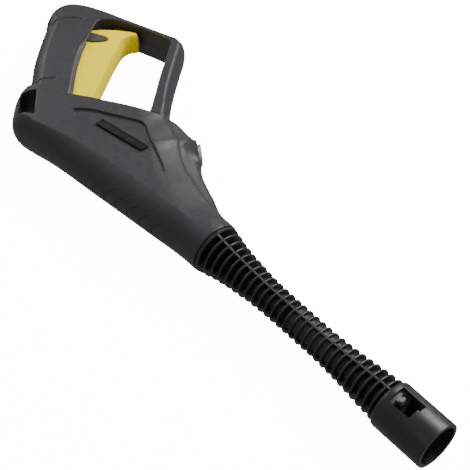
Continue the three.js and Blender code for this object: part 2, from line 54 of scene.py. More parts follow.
# ------------------------------------------------------------------ outlines
BODY = [(-205, -20), (-227, -21.5), (-252, -22.9), (-272, -25.2), (-293, -27.7), (-315, -30.2), (-337, -32.7),
        (-360, -34.8), (-380, -36.9), (-396, -39.2), (-408, -41.4), (-417, -42.9), (-424, -42), (-430, -38.2),
        (-436.5, -32.4), (-442.5, -26.2), (-447.2, -20), (-450.4, -14), (-451.6, -8.5), (-450.4, -4.5), (-446, -3.4),
        (-438, -4.4), (-431.5, -4.6), (-424.5, 1), (-415.5, 7), (-404, 14.4), (-390, 24), (-376, 33.2), (-361, 42.4), (-350, 50.5),
        (-344, 57), (-337, 58.6), (-325, 58), (-313.5, 57), (-297.5, 46.3), (-283, 37.5), (-272, 33), (-262, 29.5),
        (-250, 26.2), (-240, 23.7), (-227, 21.5), (-205, 20)]
BODY_TOP = BODY[0:20]
BODY_LOW = BODY[19:31]
BODY_KEEL = BODY[30:42]
BODY_EDGE = [(-460, -9), (-434, -9.5), (-429, -8), (-421, -0.5), (-410, 7.6), (-404, 11.7), (-397, 16.8), (-390, 21), (-375.5, 30.5), (-361, 39), (-352, 44.5), (-346, 49.5), (-338, 55), (-330, 58)]
LOOP = [(-400, -20), (-436, -18), (-446, -13), (-450.5, -5.5), (-456.5, 0.5), (-463, 6.3), (-470, 13), (-480, 24.3), (-489, 35), (-497, 45.2),
        (-502.5, 51.2), (-506.6, 58), (-508.3, 65.5), (-507.2, 73), (-502.8, 80.4), (-494.5, 87.2), (-484, 92.6), (-471.7, 97.6),
        (-457, 102.8), (-443.3, 107.8), (-430, 112.8), (-416.1, 118), (-409, 120.2), (-403.2, 119.6), (-397.3, 115),
        (-390, 105.5), (-379, 91.5), (-368, 78), (-359, 68), (-351, 60), (-343, 50), (-330, 30), (-350, 0)]
LOOP_GRIP = LOOP[0:10]
LOOP_BASE = LOOP[9:24]
LOOP_LEG = LOOP[23:33]
PIVOT = (-386, 14)
OPEN_GRIP = [(-408, 2), (-416, 13.3), (-428.5, 25.5), (-440.5, 38.4), (-450.7, 51.4), (-461, 67), (-467, 77.5), (-467.6, 82)]
OPEN_BASE = [(-467.6, 82), (-463.5, 87.6), (-457, 92), (-448, 96.6), (-438, 100.8), (-427, 104.4), (-416, 107.8), (-410, 109.4), (-407, 108.6)]
OPEN_LEG = [(-407, 108.6), (-399, 98.6), (-390, 86.5), (-383, 77), (-375, 67.5), (-366.5, 57), (-358, 46), (-352, 32), (-375, 10)]
OPENING = OPEN_GRIP[:-1] + OPEN_BASE[:-1] + OPEN_LEG
REAR_SLOT = [(-431.5, -10.5), (-411.5, -27.5), (-422.5, -36), (-442.5, -19)]
TRIGGER = [(-379.4, -4.5), (-379.4, 5.5), (-376.6, 11), (-376.8, 18), (-381, 23), (-388, 24.4), (-395, 22.6),
           (-400, 23.4), (-404.5, 28), (-409, 34), (-414, 41), (-419.8, 50), (-426.5, 60.5), (-432, 70), (-436.6, 78.3),
           (-438.8, 84.5), (-438.2, 90), (-435.8, 94.2), (-435.4, 96.6), (-437.2, 98.4)]
TRIGGER += [(PIVOT[0] + 100 * math.cos(math.radians(a)), PIVOT[1] + 100 * math.sin(math.radians(a)))
            for a in (123, 127, 131, 135, 139, 143, 146.5)]
TRIGGER += [(-471, 62), (-462.5, 48.5), (-452, 35), (-441, 21.5), (-430, 11.5), (-418, 4.2), (-404, -1.5), (-392, -5.6)]
LOCK = [(-470, 64.5), (-464.2, 68.8), (-457, 72.9), (-451.5, 75.2), (-447.6, 74.6), (-448.6, 71), (-453, 64.4), (-458, 60), (-464.5, 55.2)]
BADGE = [(-372, 9.2), (-324.6, 18), (-325.6, 10.8), (-371, 2.2)]
SIDE_TRIANGLE = [(-395, -0.5), (-386, 8.5), (-371, 17.3), (-356.5, 26), (-349, 30), (-344, 30), (-331, 24.3), (-309, 16.3),
                 (-297, 11), (-299, 9.3), (-321, 6.4), (-341, 2), (-361, -1.6), (-379, -5.2), (-391, -4.4)]
SCREWS = [(-494, 75), (-402.4, 113.4), (-402, -25.5), (-338, -25), (-351, 38), (-262, 17.5), (-262, -14.5)]
TRIGGER_WAY = [(-380, 8), (-382.4, 24.4), (-389.5, 30), (-400, 32), (-424, 30), (-440, 42), (-455, 63), (-464, 76),
               (-475, 78), (-484, 66), (-486, 50), (-474, 34), (-455, 14), (-440, 4), (-420, -4)]
LOCK_WAY = [(-446, 69), (-446.2, 76.5), (-451, 77.6), (-458, 75.6), (-466, 71.4), (-472.5, 67), (-481, 52.5), (-481, 45.5),
            (-473, 38), (-465.5, 42), (-457.5, 54), (-451.5, 61)]
INLET = np.array([-305.5, 51.8])
INLET_DIR = np.array([0.545, 0.838]) / math.hypot(0.545, 0.838)
GROOVES_UP = [(-489.5, 45), (-491.6, 50.5), (-491, 57), (-487, 64.2), (-481.5, 69.3), (-477.5, 70.8)]
GROOVES_LOW = [(-446.5, -4.5), (-444.3, 0.5), (-441.2, 5.6), (-437, 11.6)]


def smooth_line(pts, closed, n=5, corner=38.0):
    """Catmull-Rom through the points, keeping corners sharper than the given angle."""
    p = np.array(pts, float)
    m = len(p)
    out = []
    last = m if closed else m - 1
    for i in range(last):
        p1, p2 = p[i], p[(i + 1) % m]
        p0 = p[(i - 1) % m] if closed or i > 0 else 2 * p1 - p2
        p3 = p[(i + 2) % m] if closed or i + 2 < m else 2 * p2 - p1

        def turn(a, b, c):
            u, v = b - a, c - b
            return abs(math.degrees(math.atan2(u[0] * v[1] - u[1] * v[0], u @ v)))

        d = p2 - p1
        t1 = d if turn(p0, p1, p2) > corner else (p2 - p0) / (np.linalg.norm(p2 - p1) + np.linalg.norm(p1 - p0)) * np.linalg.norm(d)
        t2 = d if turn(p1, p2, p3) > corner else (p3 - p1) / (np.linalg.norm(p3 - p2) + np.linalg.norm(p2 - p1)) * np.linalg.norm(d)
        k = n if np.linalg.norm(d) > 3 else 2
        for j in range(k):
            t = j / k
            out.append((2 * t**3 - 3 * t**2 + 1) * p1 + (t**3 - 2 * t**2 + t) * t1 + (-2 * t**3 + 3 * t**2) * p2 + (t**3 - t**2) * t2)
    if not closed:
        out.append(p[-1])
    return np.array(out)


def line_distance(X, Y, pts, closed):
    """Unsigned distance in the plane from each grid point to a line of points."""
    p = np.array(pts, float)
    q = np.roll(p, -1, axis=0) if closed else p[1:]
    p = p if closed else p[:-1]
    best = np.full(X.shape, 1e9, np.float32)
    for a, b in zip(p, q):
        d = b - a
        L = d @ d
        if L < 1e-9:
            continue
        t = np.clip(((X - a[0]) * d[0] + (Y - a[1]) * d[1]) / L, 0, 1)
        best = np.minimum(best, (X - a[0] - t * d[0]) ** 2 + (Y - a[1] - t * d[1]) ** 2)
    return np.sqrt(best)


def inside(X, Y, pts):
    p = np.array(pts, float)
    q = np.roll(p, -1, axis=0)
    r = np.zeros(X.shape, bool)
    for a, b in zip(p, q):
        if a[1] == b[1]:
            continue
        c = ((a[1] > Y) != (b[1] > Y)) & (X < (b[0] - a[0]) * (Y - a[1]) / (b[1] - a[1]) + a[0])
        r ^= c
    return r


def signed(X, Y, pts, smooth=True):
    """Distance inwards from a closed outline, negative outside."""
    p = smooth_line(pts, True) if smooth else np.array(pts, float)
    return line_distance(X, Y, p, True) * np.where(inside(X, Y, p), 1, -1)


def step(x):
    x = np.clip(x, 0, 1)
    return x * x * (3 - 2 * x)


def section(v, R, H, top):
    """Squared half width at distance v from an edge rounded over R by H, and no more than top."""
    t = np.clip(v / R, 0, 1)
    s = np.minimum(H * H * (2 * t - t * t), top * top)
    return np.where(v < 0, 2 * H * H * v / R, s)


# -------------------------------------------------------------- surface nets
def surface_nets(D, origin, h):
    """Quads on the zero level of D (negative inside) on a regular grid."""
    s = D < 0
    nx, ny, nz = D.shape
    cells = (nx - 1, ny - 1, nz - 1)
    c = np.zeros(cells, np.int8)
    for i in (0, 1):
        for j in (0, 1):
            for k in (0, 1):
                c += s[i:nx - 1 + i, j:ny - 1 + j, k:nz - 1 + k]
    active = (c > 0) & (c < 8)
    idx = np.full(cells, -1, np.int64)
    ii, jj, kk = np.nonzero(active)
    idx[ii, jj, kk] = np.arange(len(ii))
    acc = np.zeros((len(ii), 3))
    cnt = np.zeros(len(ii))
    corner = [(i, j, k) for i in (0, 1) for j in (0, 1) for k in (0, 1)]
    for a in range(8):
        for b in range(a + 1, 8):
            ca, cb = corner[a], corner[b]
            if sum(abs(m - n) for m, n in zip(ca, cb)) != 1:
                continue
            da = D[ii + ca[0], jj + ca[1], kk + ca[2]]
            db = D[ii + cb[0], jj + cb[1], kk + cb[2]]
            m = (da < 0) != (db < 0)
            t = np.where(m, da / np.where(m, da - db, 1), 0)
            for ax in range(3):
                acc[:, ax] += np.where(m, ca[ax] + t * (cb[ax] - ca[ax]), 0)
            cnt += m
    v = acc / cnt[:, None] + np.stack([ii, jj, kk], 1)
    v = v * h + np.array(origin)
    quads = []
    for ax in range(3):
        o = [0, 0, 0]
        o[ax] = 1
        a = s[:nx - o[0], :ny - o[1], :nz - o[2]]
        b = s[o[0]:, o[1]:, o[2]:]
        p = np.argwhere(a != b)
        u, w = [(1, 2), (2, 0), (0, 1)][ax]
        ok = (p[:, u] > 0) & (p[:, w] > 0) & (p[:, u] < cells[u]) & (p[:, w] < cells[w])
        p = p[ok]
        flip = a[p[:, 0], p[:, 1], p[:, 2]]

        def at(du, dw):
            q = p.copy()
            q[:, u] -= du
            q[:, w] -= dw
            return idx[q[:, 0], q[:, 1], q[:, 2]]

        f = np.stack([at(1, 1), at(0, 1), at(0, 0), at(1, 0)], 1)
        f[~flip] = f[~flip][:, ::-1]
        quads.append(f)
    return v, np.concatenate(quads)


def mesh_object(name, verts_mm, faces, material, smooth_angle=32.0):
    me = bpy.data.meshes.new(name)
    v = to_row(verts_mm).astype(np.float32)
    f = np.asarray(faces)
    n = f.shape[1]
    me.vertices.add(len(v))
    me.vertices.foreach_set("co", v.ravel())
    me.loops.add(f.size)
    me.loops.foreach_set("vertex_index", f.ravel().astype(np.int32))
    me.polygons.add(len(f))
    me.polygons.foreach_set("loop_start", (np.arange(len(f)) * n).astype(np.int32))
    me.update(calc_edges=True)
    me.validate()
    ob = bpy.data.objects.new(name, me)
    bpy.context.scene.collection.objects.link(ob)
    me.materials.append(material)
    shade(ob, smooth_angle)
    return ob


def shade(ob, angle=32.0):
    bpy.context.view_layer.objects.active = ob
    for o in bpy.context.selected_objects:
        o.select_set(False)
    ob.select_set(True)
    bpy.ops.object.shade_smooth_by_angle(angle=math.radians(angle))
    ob.select_set(False)


def weigh(ob, angle=38.0):
    shade(ob, angle)
    m = ob.modifiers.new("w", "WEIGHTED_NORMAL")
    m.keep_sharp = True
    m.weight = 60
    apply_modifiers(ob)


def apply_modifiers(ob):
    bpy.context.view_layer.update()
    dg = bpy.context.evaluated_depsgraph_get()
    new = bpy.data.meshes.new_from_object(ob.evaluated_get(dg))
    old = ob.data
    ob.modifiers.clear()
    ob.data = new
    bpy.data.meshes.remove(old)


def decimate(ob, ratio):
    m = ob.modifiers.new("d", "DECIMATE")
    m.ratio = ratio
    apply_modifiers(ob)


def boolean(ob, other, operation):
    m = ob.modifiers.new("b", "BOOLEAN")
    m.operation = operation
    m.solver = "MANIFOLD"
    m.object = other
    apply_modifiers(ob)
    bpy.data.objects.remove(other, do_unlink=True)


# ----------------------------------------------------------------- materials
def nodes_of(mat):
    mat.use_nodes = True
    nt = mat.node_tree
    nt.nodes.clear()
    out = nt.nodes.new("ShaderNodeOutputMaterial")
    bs = nt.nodes.new("ShaderNodeBsdfPrincipled")
    nt.links.new(bs.outputs[0], out.inputs[0])
    return nt, bs


def linear(c):
    return tuple(((v / 12.92) if v <= 0.04045 else ((v + 0.055) / 1.055) ** 2.4) for v in c)


def moulded(name, colour, rough, spread=0.08, grain=0.25, grain_scale=1500.0, mottle=0.10, dust=0.05, specular=0.5, coat=0.0):
    """Moulded plastic: fine grain, uneven gloss and a little handling dust, all procedural in object space."""
    mat = bpy.data.materials.new(name)
    nt, bs = nodes_of(mat)
    N, L = nt.nodes, nt.links
    tc = N.new("ShaderNodeTexCoord")
    big = N.new("ShaderNodeTexNoise"); big.inputs["Scale"].default_value = 28.0; big.inputs["Detail"].default_value = 5.0
    mid = N.new("ShaderNodeTexNoise"); mid.inputs["Scale"].default_value = 190.0; mid.inputs["Detail"].default_value = 6.0
    fine = N.new("ShaderNodeTexNoise"); fine.inputs["Scale"].default_value = grain_scale; fine.inputs["Detail"].default_value = 2.0
    for n in (big, mid, fine):
        L.new(tc.outputs["Object"], n.inputs["Vector"])
    c0 = linear(colour)
    ramp = N.new("ShaderNodeValToRGB")
    ramp.color_ramp.elements[0].position = 0.3
    ramp.color_ramp.elements[1].position = 0.72
    ramp.color_ramp.elements[0].color = tuple(v * (1 - mottle) for v in c0) + (1,)
    ramp.color_ramp.elements[1].color = tuple(min(1, v * (1 + mottle)) for v in c0) + (1,)
    L.new(big.outputs["Fac"], ramp.inputs["Fac"])
    # faint pale rubbing marks
    rub = N.new("ShaderNodeValToRGB")
    rub.color_ramp.elements[0].position = 0.62
    rub.color_ramp.elements[1].position = 0.82
    rub.color_ramp.elements[0].color = (0, 0, 0, 1)
    rub.color_ramp.elements[1].color = (dust, dust, dust, 1)
    L.new(mid.outputs["Fac"], rub.inputs["Fac"])
    mix = N.new("ShaderNodeMix"); mix.data_type = "RGBA"
    L.new(rub.outputs["Color"], mix.inputs["Factor"])
    L.new(ramp.outputs["Color"], mix.inputs["A"])
    mix.inputs["B"].default_value = (0.42, 0.41, 0.39, 1)
    L.new(mix.outputs["Result"], bs.inputs["Base Color"])
    rr = N.new("ShaderNodeMapRange")
    rr.inputs["From Min"].default_value = 0.3
    rr.inputs["From Max"].default_value = 0.7
    rr.inputs["To Min"].default_value = rough - spread
    rr.inputs["To Max"].default_value = rough + spread
    L.new(mid.outputs["Fac"], rr.inputs["Value"])
    L.new(rr.outputs["Result"], bs.inputs["Roughness"])
    b = N.new("ShaderNodeBump")
    b.inputs["Strength"].default_value = grain
    b.inputs["Distance"].default_value = 0.00012
    L.new(fine.outputs["Fac"], b.inputs["Height"])
    L.new(b.outputs["Normal"], bs.inputs["Normal"])
    bs.inputs["Specular IOR Level"].default_value = specular
    bs.inputs["Coat Weight"].default_value = coat
    return mat


def metal(name, colour, rough, scale=900.0, metallic=1.0):
    mat = bpy.data.materials.new(name)
    nt, bs = nodes_of(mat)
    N, L = nt.nodes, nt.links
    tc = N.new("ShaderNodeTexCoord")
    n = N.new("ShaderNodeTexNoise"); n.inputs["Scale"].default_value = scale; n.inputs["Detail"].default_value = 4.0
    L.new(tc.outputs["Object"], n.inputs["Vector"])
    c0 = linear(colour)
    ramp = N.new("ShaderNodeValToRGB")
    ramp.color_ramp.elements[0].color = tuple(v * 0.82 for v in c0) + (1,)
    ramp.color_ramp.elements[1].color = tuple(min(1, v * 1.1) for v in c0) + (1,)
    L.new(n.outputs["Fac"], ramp.inputs["Fac"])
    L.new(ramp.outputs["Color"], bs.inputs["Base Color"])
    rr = N.new("ShaderNodeMapRange")
    rr.inputs["To Min"].default_value = max(0.05, rough - 0.1)
    rr.inputs["To Max"].default_value = rough + 0.1
    L.new(n.outputs["Fac"], rr.inputs["Value"])
    L.new(rr.outputs["Result"], bs.inputs["Roughness"])
    b = N.new("ShaderNodeBump")
    b.inputs["Strength"].default_value = 0.2
    b.inputs["Distance"].default_value = 0.00005
    L.new(n.outputs["Fac"], b.inputs["Height"])
    L.new(b.outputs["Normal"], bs.inputs["Normal"])
    bs.inputs["Metallic"].default_value = metallic
    return mat


M_HOUSING = moulded("housing_plastic", (0.165, 0.165, 0.175), 0.46, grain=0.3, dust=0.02)
M_BARREL = moulded("barrel_plastic", (0.10, 0.10, 0.104), 0.40, grain=0.2, mottle=0.06, dust=0.012)
M_TRIGGER = moulded("trigger_plastic", (1.0, 0.90, 0.0), 0.45, spread=0.05, grain=0.1, mottle=0.0, dust=0.0, specular=0.06)
M_LOCK = moulded("lock_plastic", (0.27, 0.25, 0.235), 0.5, grain=0.3, dust=0.02)
M_INSERT = moulded("insert_plastic", (0.36, 0.36, 0.36), 0.45, grain=0.2)
M_BADGE = moulded("badge_plastic", (0.035, 0.035, 0.038), 0.35, grain=0.2, dust=0.01)
M_RUBBER = moulded("rubber", (0.12, 0.12, 0.12), 0.6, grain=0.4)
M_BRASS = metal("brass", (0.80, 0.68, 0.42), 0.3)
M_NICKEL = metal("nickel_plated", (0.78, 0.78, 0.77), 0.42)
M_STEEL = metal("steel", (0.74, 0.74, 0.75), 0.28)
M_SPRING = metal("spring_steel", (0.6, 0.6, 0.61), 0.3)
M_SCREW = metal("screw_steel", (0.55, 0.55, 0.56), 0.38)
BY_SLOT = {"housing_plastic": M_HOUSING, "barrel_plastic": M_BARREL, "trigger_plastic": M_TRIGGER, "lock_plastic": M_LOCK,
           "insert_plastic": M_INSERT, "badge_plastic": M_BADGE, "rubber": M_RUBBER, "brass": M_BRASS, "steel": M_STEEL,
           "spring_steel": M_SPRING, "screw_steel": M_SCREW}
for sp in frame["record"]["subparts"]:
    ob = frame["nodes"][sp["node"]]
    ob.data.materials.clear()
    ob.data.materials.append(BY_SLOT[sp["material_slot"]])

def prism(name, outline, z0, z1, material):
    bm = bmesh.new()
    a = [bm.verts.new(to_row((p[0], p[1], z0))) for p in outline]
    b = [bm.verts.new(to_row((p[0], p[1], z1))) for p in outline]
    bm.faces.new(a[::-1])
    bm.faces.new(b)
    for i in range(len(a)):
        j = (i + 1) % len(a)
        bm.faces.new((a[i], a[j], b[j], b[i]))
    bmesh.ops.recalc_face_normals(bm, faces=bm.faces)
    me = bpy.data.meshes.new(name)
    bm.to_mesh(me)
    bm.free()
    ob = bpy.data.objects.new(name, me)
    bpy.context.scene.collection.objects.link(ob)
    me.materials.append(material)
    return ob


def sweep(name, pts, r, material, n=8):
    """A round tube along a line of points, tapering over its last few."""
    bm = bmesh.new()
    rings = []
    for k in range(len(pts)):
        d = pts[min(k + 1, len(pts) - 1)] - pts[max(k - 1, 0)]
        d = d / np.linalg.norm(d)
        u = np.cross(d, (0, 1, 0))
        u = u / np.linalg.norm(u)
        v = np.cross(d, u)
        rr = r * min(1.0, 0.15 + (len(pts) - k) / 16.0)
        rings.append([bm.verts.new(to_row(pts[k] + rr * (math.cos(a) * u + math.sin(a) * v))) for a in np.arange(n) * 2 * math.pi / n])
    for a, b in zip(rings, rings[1:]):
        for i in range(n):
            j = (i + 1) % n
            bm.faces.new((a[i], a[j], b[j], b[i]))
    bm.faces.new(rings[0][::-1])
    bm.faces.new(rings[-1])
    bmesh.ops.recalc_face_normals(bm, faces=bm.faces)
    me = bpy.data.meshes.new(name)
    bm.to_mesh(me)
    bm.free()
    ob = bpy.data.objects.new(name, me)
    bpy.context.scene.collection.objects.link(ob)
    me.materials.append(material)
    return ob


# -------------------------------------------------------------- the housings
def housing_field():
    x = np.arange(-519, -224.4, STEP, dtype=np.float32)
    y = np.arange(-47, 128, STEP, dtype=np.float32)
    X, Y = np.meshgrid(x, y, indexing="ij")
    dB = signed(X, Y, BODY)
    sgn = np.where(dB > 0, 1, -1)
    full = smooth_line(BODY, True)
    vT = line_distance(X, Y, smooth_line(BODY_TOP, False), False) * sgn
    vL = line_distance(X, Y, smooth_line(BODY_LOW, False), False) * sgn
    vK = line_distance(X, Y, smooth_line(BODY_KEEL, False), False) * sgn
    vT, vL, vK = (np.where(dB > 0, v, dB) for v in (vT, vL, vK))
    # top and rear: a broad rounding up to a crease, then the flat side
    RT = np.interp(X, [-460, -448, -436, -424, -412, -402, -388, -366, -334, -300, -262, -226],
                   [30, 30, 27, 19, 14.5, 14.5, 18, 23, 27, 27, 24, 21.4]).astype(np.float32)
    HT = np.interp(X, [-460, -340, -280, -226], [22.0, 22.0, 21.6, 21.4]).astype(np.float32)
    flat = np.interp(X, [-460, -430, -412, -300, -226], [20.3, 20.3, 20.5, 20.5, 21.4]).astype(np.float32)
    ST = section(vT, RT, HT, flat)
    SL = section(vL, 2.2, 24.0, 20.6)
    edge = smooth_line(BODY_EDGE, False)
    side_of = inside(X, Y, list(map(tuple, edge)) + [(-330, 200), (-600, 200), (-600, -9)])
    vE0 = line_distance(X, Y, edge, False) * np.where(side_of, -1, 1)
    low = 13.5 + 7.2 * step((vE0 + 1.6) / 2.2)
    SL = np.minimum(SL, low * low)
    # underside: flank up to the ridge, then the side leaning in to the ridge
    RK = np.interp(X, [-350, -344, -336, -326, -315, -301, -281, -266, -251, -240, -232],
                   [5, 8, 12, 15, 17, 16, 12.5, 11, 9.3, 8.5, 7.3]).astype(np.float32)
    t = vK / RK
    tab_t = np.array([0, .03, .08, .18, .32, .5, .7, .86, .95, 1.0])
    tab_h = np.array([0, 3.4, 5.4, 7.6, 9.2, 10.3, 11.2, 12.4, 13.6, 14.7])
    hk = np.where(t <= 1, np.interp(t, tab_t, tab_h), 0)
    lean = 14.7 + 6.0 * np.sin(np.pi / 2 * np.clip((vK - RK) / 26.0, 0, 1))
    hk = np.where(t > 1, lean, hk)
    SK = np.where(vK < 0, vK * 60.0, hk * hk)
    circ = 21.4 ** 2 - Y ** 2
    w = step((X + 262) / 34.0)
    S = np.minimum(np.minimum(ST, SL), SK)
    S = S * (1 - w) + circ * w
    # D-handle
    dL = signed(X, Y, LOOP)
    dO = -signed(X, Y, OPENING)
    sl = np.where(dL > 0, 1, -1)
    so = np.where(dO > 0, 1, -1)
    vG = line_distance(X, Y, smooth_line(LOOP_GRIP, False), False)
    vP = line_distance(X, Y, smooth_line(LOOP_BASE, False), False)
    vE = line_distance(X, Y, smooth_line(LOOP_LEG, False), False)
    oG = line_distance(X, Y, smooth_line(OPEN_GRIP, False), False)
    oB = line_distance(X, Y, smooth_line(OPEN_BASE, False), False)
    oE = line_distance(X, Y, smooth_line(OPEN_LEG, False), False)
    vG, vP, vE = (np.where(dL > 0, v, dL) for v in (vG, vP, vE))
    oG, oB, oE = (np.where(dO > 0, v, dO) for v in (oG, oB, oE))
    sl = so = 1.0
    side = 15.3 + 1.3 * step(1 - (vP - 7.5) / 6.5) * step((-440 - X) / 25.0)
    side = np.where(X > -440, 15.3, side).astype(np.float32)
    front = 12.4 + 3.2 * np.clip(oG * so / 3.4, -1, 4.0)
    front = front + 3.4 * step(1.9 - np.hypot(X + 465, Y - 70) / 13.0)
    parts = [section(vG * sl, 19.0, 16.8, 16.8), section(vP * sl, 10.0, 16.7, 16.8), section(vE * sl, 6.0, 15.4, 16.6),
             front * front, section(oB * so, 2.2, 17.0, 16.8), section(oE * so, 2.6, 16.2, 16.6), side * side]
    SLoop = parts[0]
    for p in parts[1:]:
        SLoop = np.minimum(SLoop, p)
    # grooves round the grip panel, and a shallow step beside them
    h = np.sqrt(np.maximum(SLoop, 0))
    gr = np.minimum(line_distance(X, Y, smooth_line(GROOVES_UP, False), False), line_distance(X, Y, smooth_line(GROOVES_LOW, False), False))
    h2 = h - 0.8 * np.exp(-(gr / 0.75) ** 2)
    SLoop = np.where(SLoop > 4, h2 * h2, SLoop)
    # union, with a small fillet
    hb = np.sqrt(np.maximum(S, 0))
    dTri = signed(X, Y, SIDE_TRIANGLE, True)
    hb2 = hb - 1.4 * step((dTri + 0.5) / 1.1)
    S = np.where(S > 4, hb2 * hb2, S)
    U = np.maximum(S, SLoop)
    k = 1.6
    hS, hL2 = np.sqrt(np.maximum(S, 0)), np.sqrt(np.maximum(SLoop, 0))
    near = np.clip(k - np.abs(hS - hL2), 0, None) / k
    both = (S > 9) & (SLoop > 9)
    hU = np.sqrt(np.maximum(U, 0)) + np.where(both, near * near * k * 0.25, 0)
    U = np.where(both, hU * hU, U)
    smooth_body = np.minimum(ST, SK) * (1 - w) + circ * w
    smooth_body = np.minimum(smooth_body, np.where(low < 20.65, low * low, 1e3))
    hm = np.sqrt(np.maximum(smooth_body, 0))
    hm2 = np.minimum(hm, np.where(X < -262, 20.6, 99.0)) - 1.9 * step((dTri + 0.4) / 0.8)
    smooth_body = np.where(smooth_body > 4, hm2 * hm2, smooth_body)
    SG = parts[0]
    for p in (parts[1], parts[2], front * front, side * side):
        SG = np.minimum(SG, p)
    hg = np.sqrt(np.maximum(SG, 0))
    hg2 = hg - 1.0 * np.exp(-(gr / 0.62) ** 2)
    SG = np.where(SG > 4, hg2 * hg2, SG)
    rims = (vL + 400.0 * w, oB * so, oE * so, oG * so)
    solid = (smooth_body.astype(np.float32), SG.astype(np.float32), rims)
    d2 = np.maximum(dB, np.minimum(dL, dO))
    hole = np.where(dB > -0.3, -9.0, -dO)
    return x, y, X, Y, U.astype(np.float32), d2.astype(np.float32), hole, solid


def from_section(S, Z):
    gx, gy = np.gradient(S, STEP)
    g2 = (gx * gx + gy * gy)[:, :, None]
    return np.clip((Z * Z - S[:, :, None]) / (np.sqrt(g2 + 4 * Z * Z) + 0.6), -4, 4).astype(np.float32)


def rim(v, Z, r, top):
    """Distance to an upright wall at v = 0 meeting a flat top in a quarter round of radius r."""
    qv, qz = (r - v)[:, :, None], np.abs(Z) - (top - r)
    return np.clip(np.minimum(np.maximum(qv, qz), 0) + np.hypot(np.maximum(qv, 0), np.maximum(qz, 0)) - r, -4, 4).astype(np.float32)


def rod_field(P, a, b, r):
    """Distance (negative inside) to a round rod with flat ends. P is (X, Y, Z)."""
    a, b = np.array(a, float), np.array(b, float)
    d = b - a
    L = np.linalg.norm(d)
    d = d / L
    t = (P[0] - a[0]) * d[0] + (P[1] - a[1]) * d[1] + (P[2] - a[2]) * d[2]
    q2 = (P[0] - a[0]) ** 2 + (P[1] - a[1]) ** 2 + (P[2] - a[2]) ** 2 - t * t
    return np.maximum(np.maximum(np.sqrt(np.maximum(q2, 0)) - r, -t), t - L)


class Box:
    """A window of the grid round a local feature."""
    def __init__(s, x, y, z, lo, hi):
        s.i = [slice(max(0, np.searchsorted(g, l) - 1), np.searchsorted(g, u) + 1) for g, l, u in zip((x, y, z), lo, hi)]
        s.P = np.meshgrid(x[s.i[0]], y[s.i[1]], z[s.i[2]], indexing="ij")


